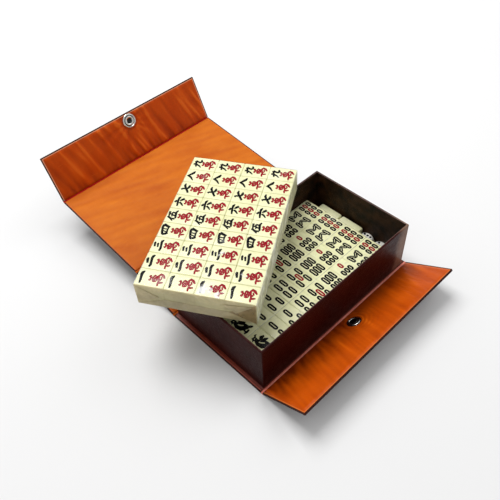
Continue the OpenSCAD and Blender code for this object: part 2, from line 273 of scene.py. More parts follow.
def dress(tree, shader, tone, roughness, shine=0.5, coat=0.0, coat_roughness=0.1):
    """Gives the Principled BSDF its colour, roughness, shine and clear coat."""
    feed(tree, shader, {"Base Color": tone, "Roughness": roughness, "Specular IOR Level": shine,
                        "Coat Weight": coat, "Coat Roughness": coat_roughness})


def lighter(colour, factor, lift):
    return tuple(min(1.0, c * factor + lift) for c in colour[:3]) + (1.0,)


def bump(tree, shader, height, distance, strength=1.0):
    made = add(tree, "Bump", {"Height": height, "Distance": distance, "Strength": strength})
    tree.links.new(made.outputs[0], shader.inputs["Normal"])
    return made.outputs[0]


BORDER_BROWN = srgb(66, 22, 12)


def sheet_plastic(name, colour, hollow_shade, pale, seam_highlight_colour, roughness, shine, coat):
    """Thin plastic sheet: painted shade in its hollows, painted highlights on its ridges,
    crinkles, a seam with a painted highlight line and a dark welded border.
    """
    material, tree, shader, flat, cloud = begin(name, 4.0, 1.5, flat=True)
    rise, edge = (add(tree, "Attribute", attribute_name=key).outputs["Fac"]
                  for key in ("rise", "edge"))
    scuff = use_group(tree, SCUFFS, Vector=flat, Scale=7.0, Amount=0.5)["Mask"]
    fold = use_group(tree, CRINKLE, Vector=flat, Scale=22.0)["Height"]
    # Painted shade: the tone runs to the darker shade colour where the rise is low
    tone = blend_colour(tree, rise, hollow_shade, colour)
    # Painted highlight: the highest ridges blend towards the pale colour
    tone = blend_colour(tree, remap(tree, rise, 0.74, 1.0, 0.0, 0.5), tone, pale)
    tone = partly(tree, cloud["Mask"], 0.25, tone, pale)
    tone = partly(tree, scuff, 0.35, tone, pale)
    # Painted highlight: a pale line along the welded seam, a little in from the edge
    seam = times(tree, remap(tree, edge, 0.4, 0.9), remap(tree, edge, 2.0, 1.4))
    tone = partly(tree, seam, 0.6, tone, seam_highlight_colour)
    tone = blend_colour(tree, remap(tree, edge, 1.0, 0.5), tone, BORDER_BROWN)
    rough = uneven(tree, cloud, roughness - 0.05, roughness + 0.07)
    dress(tree, shader, tone, plus(tree, rough, times(tree, scuff, 0.2)), shine, coat, 0.22)
    bump(tree, shader, fold, 0.0006, 0.5)
    return material


def leatherette(name, colour, dark, roughness, coat, coat_roughness, grain_scale, grain_depth,
                shine=0.5, painted_reflection=None):
    """Embossed leatherette: grain with darker joints, mottled and a little scuffed.

    A painted reflection: a pale colour in a cloudy patch at the front corner of the +X end.
    """
    material, tree, shader, spot, cloud = begin(name, 28.0, 2.0)
    grain = use_group(tree, LEATHER_GRAIN, Vector=spot, Scale=grain_scale)
    scuff = use_group(tree, SCUFFS, Vector=spot, Scale=70.0, Amount=0.6)["Mask"]
    tone = blend_colour(tree, cloud["Mask"], dark, colour)
    tone = partly(tree, math_node(tree, "SUBTRACT", 1.0, grain["Joints"]), 0.35, tone, dark)
    tone = partly(tree, scuff, 0.3, tone, lighter(colour, 3.0, 0.02))
    # Painted reflection: a pale cloudy patch on the front corner of the +X end
    if painted_reflection:
        where = add(tree, "SeparateXYZ", {0: spot}).outputs
        ragged = times(tree, math_node(tree, "SUBTRACT", cloud["Mask"], 0.5), 0.02)
        along = remap(tree, plus(tree, where["X"], ragged), 0.093, 0.107, 0.0, 0.75)
        front = remap(tree, plus(tree, where["Y"], ragged), -0.038, -0.058)
        tone = partly(tree, along, front, tone, painted_reflection)
    rough = uneven(tree, cloud, roughness - 0.05, roughness + 0.08)
    rough = plus(tree, rough, times(tree, scuff, 0.15))
    dress(tree, shader, tone, rough, shine, coat, coat_roughness)
    bump(tree, shader, grain["Height"], grain_depth, 0.6)
    return material


def make_greyboard():
    material, tree, shader, spot, cloud = begin("greyboard", 60.0, 2.0)
    fleck = noise_node(tree, spot, 1500.0, 3.0)[0]
    tone = blend_colour(tree, cloud["Mask"], srgb(120, 110, 96), srgb(160, 150, 134))
    tone = blend_colour(tree, remap(tree, fleck, 0.6, 0.75), tone, srgb(70, 62, 54))
    dress(tree, shader, tone, 0.95)
    bump(tree, shader, fleck, 0.0002)
    return material


def make_tray_paper():
    """Near-black paper inside the tray, mottled brown where it is worn."""
    material, tree, shader, spot, cloud = begin("tray paper", 90.0, 3.5)
    grain = use_group(tree, LEATHER_GRAIN, Vector=spot, Scale=700.0)
    tone = blend_colour(tree, cloud["Mask"], srgb(14, 7, 3), srgb(66, 41, 22))
    tone = partly(tree, cloud["Fine"], 0.5, tone, srgb(26, 14, 6))
    dress(tree, shader, tone, uneven(tree, cloud, 0.32, 0.5), 0.12)
    bump(tree, shader, grain["Height"], 0.0002, 0.7)
    return material


def mottled(name, scale, contrast, first, second, roughness, shine=0.5, share=1.0, coat=0.0,
            scuffed=None, relief=None):
    """A plain finish that drifts from one colour towards another, uneven in roughness.

    Scuffs take the scuffed colour. The relief is the depth of fine bumps, in metres.
    """
    material, tree, shader, spot, cloud = begin(name, scale, contrast)
    tone = partly(tree, cloud["Mask"], share, first, second)
    if scuffed:
        scuff = use_group(tree, SCUFFS, Vector=spot, Scale=120.0, Amount=0.4)["Mask"]
        tone = partly(tree, scuff, 0.25, tone, scuffed)
    dress(tree, shader, tone, uneven(tree, cloud, *roughness), shine, coat)
    if relief:
        bump(tree, shader, cloud["Fine"], relief)
    return material


def make_steel(name, low, high, roughness):
    material, tree, shader, spot, cloud = begin(name, 400.0, 1.6)
    scuff = use_group(tree, SCUFFS, Vector=spot, Scale=700.0, Amount=0.8)["Mask"]
    tone = blend_colour(tree, cloud["Mask"], low, high)
    dress(tree, shader, tone, plus(tree, roughness, times(tree, scuff, 0.25)))
    feed(tree, shader, {"Metallic": 1.0})
    return material


FILM_SHEEN = 0.22
GLARE_RAGGED = 0.014
GLARE_STRENGTH = 0.6


def film_material(name, haze, haze_colour, crease, patch=0.0, polish=0.14, glares=()):
    """Shrink film: clear with a glossy face, milky where it is layered, creased or glared upon.

    Each glare is a spot in metres with its reach.
    """
    material, tree, shader, spot, cloud = begin(name, 38.0, 2.5)
    fold = use_group(tree, CRINKLE, Vector=spot, Scale=26.0)["Height"]
    creases = remap(tree, fold, 0.6, 0.82, 0.0, crease)
    veil = plus(tree, remap(tree, cloud["Mask"], 0.2, 0.9, haze * 0.6, haze),
                remap(tree, cloud["Mask"], 0.86, 0.99, 0.0, patch))
    milky = plus(tree, creases, veil, clamp=True)
    for centre, reach in glares:
        streaks = use_group(tree, MOTTLE, Vector=spot, Scale=150.0, Contrast=3.0)["Mask"]
        away = add(tree, "VectorMath", {0: spot, 1: centre}, operation="DISTANCE")
        near = plus(tree, away.outputs["Value"], times(tree, streaks, GLARE_RAGGED))
        glare = remap(tree, near, reach, reach * 0.4, 0.0, GLARE_STRENGTH)
        milky = math_node(tree, "MAXIMUM", milky, glare)
    tone = blend_colour(tree, remap(tree, fold, 0.4, 0.75), haze_colour,
                        lighter(haze_colour, 1.5, 0.03))
    dress(tree, shader, tone, 0.3, 0.4)
    normal = bump(tree, shader, fold, 0.00025, 0.5)
    clear = add(tree, "BsdfTransparent")
    gloss = add(tree, "BsdfAnisotropic", {"Roughness": polish, "Normal": normal})
    edge_on = add(tree, "Fresnel", {"IOR": 1.45, "Normal": normal})
    sheer = add(tree, "MixShader", {0: times(tree, edge_on.outputs[0], FILM_SHEEN),
                                    1: clear.outputs[0], 2: gloss.outputs[0]})
    whole = add(tree, "MixShader", {0: milky, 1: sheer.outputs[0], 2: shader.outputs[0]})
    tree.links.new(whole.outputs[0], tree.nodes["Material Output"].inputs["Surface"])
    return material


# Sheet colours: its own colour, a darker one for painted shade in hollows, a paler one for
# painted highlights on ridges and for mottle and scuffs, and a seam colour for a painted
# highlight line
COVER_ORANGE = sheet_plastic("cover orange", srgb(207, 112, 18), srgb(168, 68, 4),
                             srgb(226, 138, 50), srgb(206, 104, 60), 0.52, 0.1, 0.0)
FLAP_ORANGE = sheet_plastic("flap orange", srgb(203, 81, 0), srgb(118, 24, 0),
                            srgb(228, 112, 22), srgb(222, 124, 56), 0.36, 0.15, 0.04)
CLOSING_ORANGE = sheet_plastic("closing flap orange", srgb(202, 72, 0), srgb(132, 31, 0),
                               srgb(218, 106, 30), srgb(255, 190, 150), 0.36, 0.1, 0.0)
CREASE_RED = sheet_plastic("crease red", srgb(206, 20, 28), srgb(200, 8, 26), srgb(210, 50, 44),
                           srgb(206, 20, 28), 0.4, 0.1, 0.0)
# The base sheet's dark red is painted shade: it lies in the shade of the tray
SHADED_BASE_RED = sheet_plastic("shaded base red", srgb(128, 46, 26), srgb(84, 22, 12), srgb(160, 74, 48),
                         srgb(190, 96, 78), 0.4, 0.2, 0.05)
SKIN_BROWN = leatherette("skin brown", srgb(68, 25, 16), srgb(40, 13, 8), 0.55, 0.0, 0.3,
                         900.0, 0.00025, shine=0.1)
# The tray's covering, with a painted reflection in a pale patch at its +X front corner
TRAY_MAROON = leatherette("tray maroon", srgb(58, 12, 8), srgb(36, 5, 4), 0.34, 0.0, 0.14,
                          800.0, 0.0001, shine=0.07, painted_reflection=srgb(140, 112, 92))
# The rim's rounded edges: worn, and paler as a painted highlight along the rim
WORN_HIGHLIT_EDGE = leatherette("tray worn highlit edge", srgb(118, 84, 72), srgb(70, 42, 34), 0.4, 0.1, 0.2,
                        800.0, 0.0001)
# The pink welded bead at the front fold, its colour raised above its own pink as painted light in
# the tray's shade
HIGHLIT_FOLD_PINK = leatherette("highlit fold pink", srgb(250, 154, 132), srgb(214, 108, 90), 0.36, 0.2, 0.25,
                        700.0, 0.00015)
GREYBOARD = make_greyboard()
TRAY_PAPER = make_tray_paper()
TILE_CREAM = mottled("tile cream", 35.0, 1.8, srgb(222, 221, 172), srgb(233, 232, 193),
                     (0.24, 0.36), 0.3, scuffed=srgb(205, 195, 160), relief=0.00005)
PAINT_BLACK, PAINT_CRIMSON = (
    mottled(name, 260.0, 2.2, colour, worn, (0.4, 0.6), 0.05, share=0.45, relief=0.00008)
    for name, colour, worn in (("paint black", srgb(1, 1, 2), srgb(10, 12, 14)),
                               ("paint crimson", srgb(142, 4, 22), srgb(172, 34, 50))))
FILM_CLEAR = film_material("film clear", 0.003, srgb(240, 242, 232), crease=0.01, patch=0.12)
GLARES = ((8, -88, 15), (22, -94, 11), (11, -38, 10), (42, -66, 7))
FILM_GLARED = film_material(
    "film glared", 0.003, srgb(240, 242, 232), crease=0.01, patch=0.1,
    glares=[(AT_UPPER_BLOCK @ Vector((x, y, BLOCK_HEIGHT)) * MM, reach * MM)
            for x, y, reach in GLARES])
FILM_MILKY = film_material("film milky", 0.7, srgb(188, 174, 132), crease=0.3, polish=0.3)
# Milky film on the long sides, made paler to brighten those sides: milky film and painted light
FILM_SIDE_LIT = film_material("film side lit", 0.4, srgb(232, 226, 196), crease=0.6, polish=0.4)
# Milky film for seams over tile joints, and for the lower film's rounded edges as a painted
# highlight
FILM_SEAM_AND_HIGHLIGHT = film_material("film seam and highlight", 0.7, srgb(228, 226, 192), crease=0.3)
# Brown film on one end fold, as painted shade in the fold
FILM_BROWN_SHADE = film_material("film brown shade", 0.8, srgb(150, 128, 84), crease=0.3, polish=0.3)
STEEL = make_steel("snap steel", srgb(206, 204, 198), srgb(238, 236, 230), 0.18)
DARK_STEEL = make_steel("snap dark steel", srgb(58, 54, 52), srgb(84, 80, 76), 0.1)
SNAP_BLACK = mottled("snap black", 300.0, 2.0, srgb(8, 7, 7), srgb(28, 25, 24), (0.22, 0.42), 0.2,
                     coat=0.25)
DIE_WHITE = mottled("die white", 120.0, 1.5, srgb(232, 230, 220), srgb(246, 245, 238),
                    (0.16, 0.3))


# Mesh helpers

def as_mesh(bm, name):
    mesh = bpy.data.meshes.new(name)
    bm.to_mesh(mesh)
    bm.free()
    return mesh


def new_object(name, data):
    made = bpy.data.objects.new(name, data)
    bpy.context.scene.collection.objects.link(made)
    return made


def make_piece(bm, name, body, materials, replaces=(), sharp=35, ride=True):
    """Turns a bmesh in millimetres into a piece in metres that rides on its body."""
    bmesh.ops.scale(bm, vec=(MM, MM, MM), verts=bm.verts)
    mesh = as_mesh(bm, name)
    for material in materials:
        mesh.materials.append(material)
    mesh.shade_smooth()
    mesh.set_sharp_from_angle(angle=math.radians(sharp))
    piece = new_object(name, mesh)
    if ride:
        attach(piece, body)
    if replaces:
        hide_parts(*replaces)
    return piece


def verts_of(geom):
    return [g for g in geom if isinstance(g, bmesh.types.BMVert)]


def faces_of(geom):
    return [g for g in geom if isinstance(g, bmesh.types.BMFace)]


def rims_of(bm):
    return [e for e in bm.edges if e.is_boundary]


def merge(bm, reach):
    bmesh.ops.remove_doubles(bm, verts=bm.verts, dist=reach)


def face_outwards(bm):
    bmesh.ops.recalc_face_normals(bm, faces=bm.faces)


def carry(bm, at):
    """Moves a whole bmesh to its place in the case."""
    bmesh.ops.transform(bm, matrix=at, verts=bm.verts)


def cuboid(size):
    """A bmesh with one centred box."""
    bm = bmesh.new()
    bmesh.ops.create_cube(bm, size=1)
    bmesh.ops.scale(bm, vec=size, verts=bm.verts)
    return bm


def round_edges(bm, edges, width, segments=3):
    """Rounds edges off and returns the new faces."""
    return bmesh.ops.bevel(bm, geom=edges, offset=width, segments=segments, profile=0.5,
                           affect="EDGES", material=-1)["faces"]


def sheet_layers(bm):
    """The layers that sheet plastic reads: a flat map, the rise as a tone for painted shade and
    the distance to an edge.
    """
    return (bm.loops.layers.uv.new("sheet"), bm.verts.layers.float.new("rise"),
            bm.verts.layers.float.new("edge"))


def smooth(value, low, high):
    """0 below low, 1 above high, with an S curve between."""
    t = min(1.0, max(0.0, (value - low) / (high - low)))
    return t * t * (3 - 2 * t)


def wave(x, y, length_x, length_y, seed):
    return noise.noise(Vector((x / length_x, y / length_y, seed)))


# Inner sheets of the cover

# How a sheet is welded down along its free edges, and how it dips into a fold
WELD_START = 1.6
WELD_END = 3.4
WELD_DEPTH = 0.24
FOLD_REACH = 1.6
FOLD_DEPTH = 0.25
NO_EDGE = 99
# Millimetres to one unit of a sheet's flat map
MAP_UNIT = 100
# Painted shade of a sheet: its tone from its rise, darker where it is low, and painted shade
# darkening it towards its first fold
LEVEL_TONE = 0.25
RISE_TONE = 0.8
FOLD_SHADE = 0.5
SHADE_REACH = 8


def inner_sheet(name, node, body, at, near, far, free, rise, material, step=1.3):
    """An inner sheet: a fine grid lifted by rise(x, y), welded at its edges, closed below."""
    half = COVER_WIDTH / 2 - SHEET
    far = far - SHEET if free else far
    top = COVER_HALF_THICKNESS
    bm = bmesh.new()
    bmesh.ops.create_grid(bm, x_segments=round(2 * half / step),
                          y_segments=round((far - near) / step), size=1)
    bmesh.ops.scale(bm, vec=(half, (far - near) / 2, 1), verts=bm.verts)
    bmesh.ops.translate(bm, vec=(0, (near + far) / 2, 0), verts=bm.verts)
    flat, height, rim = sheet_layers(bm)
    for face in bm.faces:
        for loop in face.loops:
            loop[flat].uv = loop.vert.co.xy / MAP_UNIT
    for vert in bm.verts:
        x, y, _ = vert.co
        side = half - abs(x)
        end = far - y if free else NO_EDGE
        welded = 1 - smooth(min(side, end), WELD_START, WELD_END)
        fold = 1 - smooth(min(y - near, NO_EDGE if free else far - y), 0.0, FOLD_REACH)
        lift = rise(x, y) * (1 - welded) * (1 - fold)
        vert.co.z = top + max(0.0, lift) - WELD_DEPTH * welded - FOLD_DEPTH * fold
        # Painted shade: the tone is lower where the rise is low and near the first fold
        shade = FOLD_SHADE * math.exp(-(y - near) / SHADE_REACH)
        vert[height] = min(1.0, max(0.0, LEVEL_TONE + RISE_TONE * rise(x, y) - shade))
        vert[rim] = min(side, end)
    skirt = bmesh.ops.extrude_edge_only(bm, edges=rims_of(bm))["geom"]
    for vert in verts_of(skirt):
        vert.co.z = top - SHEET
    bmesh.ops.contextual_create(bm, geom=rims_of(bm))
    face_outwards(bm)
    carry(bm, at)
    make_piece(bm, name, body, [material], [node], sharp=50)


def base_rise(x, y):
    return 0.15 + 0.2 * wave(x, y, 14, 9, 1.0)


def spine_rise(x, y):
    slant = x + 0.8 * y
    return 0.2 + 0.3 * wave(slant, y, 9, 26, 2.0) + 0.18 * wave(x, y, 3.6, 14, 2.5)


def lid_rise(x, y):
    slant = y + 0.3 * x
    broad = 0.3 * wave(x, y, 46, 60, 3.0)
    return 0.3 + broad + 0.4 * wave(slant, x, 7, 48, 3.3) + 0.1 * wave(x, y, 9, 3.2, 3.7)


def closing_flap_rise(x, y):
    away = math.hypot(x - SNAP_X, y - SOCKET_DISTANCE)
    round_snap = math.atan2(y - SOCKET_DISTANCE, x - SNAP_X)
    pucker = 0.7 * noise.noise(Vector((round_snap * 4.5, away / 40, 5.5))) * math.exp(-away / 34)
    slant = x + 0.3 * y
    fine = 0.25 + max(0.0, wave(x, y, 38, 44, 4.6))
    waves = 0.6 * wave(slant, y, 10.0, 60, 4.0) + 1.2 * fine * wave(slant, y, 4.2, 30, 4.4)
    ends = 0.4 * wave(x, y, 3.0, 12, 4.8) * (math.exp(-y / 8) + math.exp((y - FLAP_LENGTH) / 6))
    # Held flat round the snap; the low tone there paints a ring of shade round it
    held = smooth(away, 9.2, 13.0)
    return (0.5 + waves + pucker + ends) * held


def front_flap_rise(x, y):
    snap_x = -SNAP_X
    away = math.hypot(x - snap_x, y - STUD_DISTANCE)
    rings = 0.4 * math.cos(away * 2 * math.pi / 4.8) * math.exp(-max(0.0, away - 9) / 7)
    rings *= 1.0 if x < snap_x else 0.45
    slant = x - 0.3 * y
    waves = 0.3 * wave(slant, y, 8.0, 50, 6.0) + 0.25 * wave(slant, y, 3.2, 26, 6.4)
    # Painted shade near the fold on the left half: the lower rise darkens the tone there, and
    # sinks the sheet a little
    waves -= 0.35 * smooth(x, -30, 80) * math.exp(-y / 22)
    tucks = 1.1 * wave(slant, y, 4.0, 16, 6.8) * math.exp(-y / 16) * smooth(x, -60, 40)
    # Held flat round the snap; the low tone there paints a ring of shade round it
    held = smooth(away, 8.2, 10.0)
    return (0.5 + waves + rings + tucks) * held


BASE_FAR = FOLD_Y - PANEL_START
inner_sheet("base_inner_sheet", "base_lining", "case", AT_BASE, -BASE_FAR, BASE_FAR, False,
            base_rise, SHADED_BASE_RED, step=2.0)
inner_sheet("spine_inner_sheet", "spine_lining", "spine", AT_SPINE, PANEL_START,
            SPINE_LENGTH - PANEL_START, False, spine_rise, COVER_ORANGE)
inner_sheet("lid_inner_sheet", "lid_lining", "lid", AT_LID, PANEL_START,
            LID_LENGTH - PANEL_START, False, lid_rise, COVER_ORANGE)
inner_sheet("closing_flap_inner_sheet", "closing_flap_lining", "closing_flap", AT_CLOSING_FLAP,
            PANEL_START, FLAP_LENGTH, True, closing_flap_rise, CLOSING_ORANGE)
inner_sheet("front_flap_inner_sheet", "front_flap_lining", "front_flap", AT_FRONT_FLAP,
            PANEL_START, FRONT_FLAP_LENGTH, True, front_flap_rise, FLAP_ORANGE)


# Folds of the cover

FOLD_COLUMNS = 156
# The fold strips' tone: low, so sheet plastic gives them its darker colour as painted shade in
# the fold
FOLD_STRIP_SHADE = 0.15
FOLD_RIM = 9.0
FOLD_MAP_WIDTH = 0.06


def fold_strip(name, node, first, first_point, second_point, bead, materials):
    """The welded strip across a fold. Its outline runs round from body to body and back."""
    def middle(x, z):
        low = (first_point(x, 0, z) + second_point(x, 0, z)) / 2
        centre = (first_point(x, 0, 0) + second_point(x, 0, 0)) / 2
        out = low - centre
        return centre + out.normalized() * abs(z) if out.length > 1e-6 else low

    def outline(x):
        pucker = 0.12 * wave(x, 0, 3.5, 1, 9.0) + 0.06 * wave(x, 0, 1.2, 1, 9.4)
        inner = [(1.5, 1.0), (1.3, 0.8), (1.0, bead - 0.25), (0.55, bead - 0.02)]
        top = [first_point(x, s, z + pucker) for s, z in inner] + [middle(x, bead + pucker)]
        top += [second_point(x, s, z + pucker) for s, z in reversed(inner)]
        outer = [(1.5, -1.18), (0.8, -1.16)]
        low = [second_point(x, s, z) for s, z in outer] + [middle(x, -1.15)]
        low += [first_point(x, s, z) for s, z in reversed(outer)]
        return top, low

    count = len(sum(outline(0), []))
    inner_count = len(outline(0)[0])
    bm = bmesh.new()
    bmesh.ops.create_grid(bm, x_segments=FOLD_COLUMNS, y_segments=count, size=1)
    flat, height, rim = sheet_layers(bm)
    for face in bm.faces:
        row = round((face.calc_center_median().y + 1) / 2 * count - 0.5)
        face.material_index = 0 if row < inner_count - 1 else 1
        for loop in face.loops:
            loop[flat].uv = (loop.vert.co.x * COVER_WIDTH / 2 / MAP_UNIT,
                             loop.vert.co.y * FOLD_MAP_WIDTH)
    for vert in bm.verts:
        x = vert.co.x * COVER_WIDTH / 2
        row = round((vert.co.y + 1) / 2 * count) % count
        vert.co = sum(outline(x), [])[row]
        vert[height] = FOLD_STRIP_SHADE
        vert[rim] = FOLD_RIM
    merge(bm, 0.001)
    bmesh.ops.holes_fill(bm, edges=rims_of(bm), sides=0)
    face_outwards(bm)
    piece = make_piece(bm, name, first, materials, [node], sharp=70, ride=False)
    first_point(0, 1.5, 0) * MM
    second_point(0, 1.5, 0) * MM
    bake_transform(piece)


def from_fold(at, start=0.0, way=1, flip=1):
    """Points of a panel as seen from a fold: x along it, s away from it, z over mid thickness."""
    return lambda x, s, z: at @ Vector((flip * x, start + way * s, z))


fold_strip("front_fold", "front_crease", "case", from_fold(AT_BASE, -FOLD_Y),
           from_fold(AT_FRONT_FLAP, flip=-1), 1.55, [HIGHLIT_FOLD_PINK, SKIN_BROWN])
fold_strip("spine_fold", "spine_crease", "case", from_fold(AT_BASE, FOLD_Y, -1),
           from_fold(AT_SPINE), 0.3, [COVER_ORANGE, SKIN_BROWN])
fold_strip("lid_fold", "lid_crease", "spine", from_fold(AT_SPINE, SPINE_LENGTH, -1),
           from_fold(AT_LID), 0.1, [COVER_ORANGE, SKIN_BROWN])
fold_strip("closing_fold", "closing_crease", "lid",
           from_fold(AT_LID, LID_LENGTH, -1), from_fold(AT_CLOSING_FLAP), 0.35,
           [CREASE_RED, SKIN_BROWN])


# The tray's leatherette

def from_node(node):
    """A merged copy of a CAD node's mesh, in millimetres."""
    bm = bmesh.new()
    bm.from_mesh(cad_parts[node].data)
    bmesh.ops.scale(bm, vec=(1 / MM, 1 / MM, 1 / MM), verts=bm.verts)
    merge(bm, 0.001)
    bmesh.ops.dissolve_limit(bm, angle_limit=math.radians(1), verts=bm.verts, edges=bm.edges)
    return bm


def at_corner(vert):
    return (abs(abs(vert.co.x) - TRAY_LENGTH / 2) < TOUCH
            and abs(abs(vert.co.y) - TRAY_DEPTH / 2) < TOUCH)


def at_rim(edge):
    """A sharp edge at the height of the rim."""
    return (all(abs(v.co.z - RIM_Z) < TOUCH for v in edge.verts)
            and len(edge.link_faces) == 2 and edge.calc_face_angle(0) > 0.5)


CORNER_ROUNDING = 0.9
RIM_ROUNDING = 0.55
bm = from_node("tray_covering")
round_edges(bm, [e for e in bm.edges if all(at_corner(v) for v in e.verts)], CORNER_ROUNDING, 4)
# The rounded rim takes the worn edge with its painted highlight
for face in round_edges(bm, [e for e in bm.edges if at_rim(e)], RIM_ROUNDING):
    face.material_index = 1
make_piece(bm, "tray_leather", "case", [TRAY_MAROON, WORN_HIGHLIT_EDGE],
           ["tray_covering"], sharp=30)


# Snap

TURN_STEPS = 48


def turned(profile):
    """A closed outline in the XZ plane spun right round the Z axis."""
    bm = bmesh.new()
    verts = [bm.verts.new((radius, 0, z)) for radius, z in profile]
    edges = [bm.edges.new((a, b)) for a, b in zip(verts, verts[1:] + verts[:1])
             if not (a.co.x < 1e-6 and b.co.x < 1e-6)]
    bmesh.ops.spin(bm, geom=verts + edges, cent=(0, 0, 0), axis=(0, 0, 1), dvec=(0, 0, 0),
                   angle=2 * math.pi, steps=TURN_STEPS, use_merge=True, use_duplicate=False)
    merge(bm, 0.0005)
    face_outwards(bm)
    return bm


def arc(centre_r, centre_z, radius_r, radius_z, start, end, count=8):
    return [(centre_r + radius_r * math.cos(math.radians(start + (end - start) * i / count)),
             centre_z + radius_z * math.sin(math.radians(start + (end - start) * i / count)))
            for i in range(count + 1)]


def put_turned(profile, at, name, body, materials, replaces, groove=None):
    """A turned piece. Its upper face between two radii takes the second material."""
    bm = turned(profile)
    for face in bm.faces if groove else ():
        middle = face.calc_center_median()
        if groove[0] < math.hypot(middle.x, middle.y) < groove[1] and face.normal.z > 0.1:
            face.material_index = 1
    carry(bm, at)
    make_piece(bm, name, body, materials, replaces, sharp=40)


AT_SOCKET = AT_CLOSING_FLAP @ Matrix.Translation((SNAP_X, SOCKET_DISTANCE, COVER_HALF_THICKNESS))
AT_STUD = AT_FRONT_FLAP @ Matrix.Translation((-SNAP_X, STUD_DISTANCE, COVER_HALF_THICKNESS))
socket_ring = [(8.7, 0.0), (9.0, 0.1)] + arc(8.0, 0.35, 1.0, 1.1, 0, 90) + \
    [(7.2, 1.42), (6.9, 1.05), (6.2, 1.05), (5.9, 1.3)] + arc(5.0, 1.3, 0.8, 0.2, 20, 160) + \
    [(4.0, 1.2), (3.6, 1.05), (3.6, 0.95), (8.2, 0.92), (8.4, 0.8), (8.4, 0.0)]
# The groove between the socket's rings takes snap black: painted shade in the groove
put_turned(socket_ring, AT_SOCKET, "socket_ring", "closing_flap",
           [STEEL, SNAP_BLACK], ["snap_socket_case"], groove=(6.0, 7.0))
socket_core = [(0, 0.05), (8.1, 0.05), (8.1, 0.88), (3.5, 0.88), (3.3, 0.85), (1.9, 0.8),
               (1.6, 0.45), (0, 0.4)]
put_turned(socket_core, AT_SOCKET, "socket_core", "closing_flap", [SNAP_BLACK],
           ["snap_magnet"])
washer = [(2.2, 0.0), (8.0, 0.0), (8.05, 0.12)] + arc(7.6, 0.12, 0.4, 0.25, 0, 90, 4) + \
    [(6.9, 0.3), (6.6, 0.55)] + arc(6.0, 0.5, 0.55, 0.3, 10, 170, 6) + \
    [(5.3, 0.4), (4.2, 0.3), (2.2, 0.3)]
put_turned(washer, AT_STUD, "stud_washer", "front_flap", [SNAP_BLACK, STEEL],
           ["snap_stud_washer"], groove=(5.3, 6.8))
stud_head = [(0, 0.1), (3.3, 0.1), (3.4, 0.32), (3.2, 0.55), (2.9, 0.45)] + \
    arc(0, 0.4, 2.8, 0.38, 8, 90)
put_turned(stud_head, AT_STUD, "stud_head", "front_flap", [DARK_STEEL],
           ["snap_stud_rivet"])


# Tiles

BRUSH_WEIGHT = 1.6
FACE_HALF_WIDTH = 9.5
FACE_HALF_LENGTH = 13.9


def stroke(*points):
    """A brush stroke of points of x, y and half width: its outline, kept on the tile's face."""
    left, right = [], []
    for i, (x, y, half) in enumerate(points):
        before = points[max(0, i - 1)]
        after = points[min(len(points) - 1, i + 1)]
        along = Vector((after[0] - before[0], after[1] - before[1])).normalized()
        across = Vector((-along.y, along.x)) * half * BRUSH_WEIGHT
        for side, spot in ((left, Vector((x, y)) + across), (right, Vector((x, y)) - across)):
            side.append(Vector((max(-FACE_HALF_WIDTH, min(FACE_HALF_WIDTH, spot.x)),
                                max(-FACE_HALF_LENGTH, min(FACE_HALF_LENGTH, spot.y)))))
    return right + left[::-1]


def inked(strokes, ink):
    return [(stroke(*points), ink) for points in strokes]


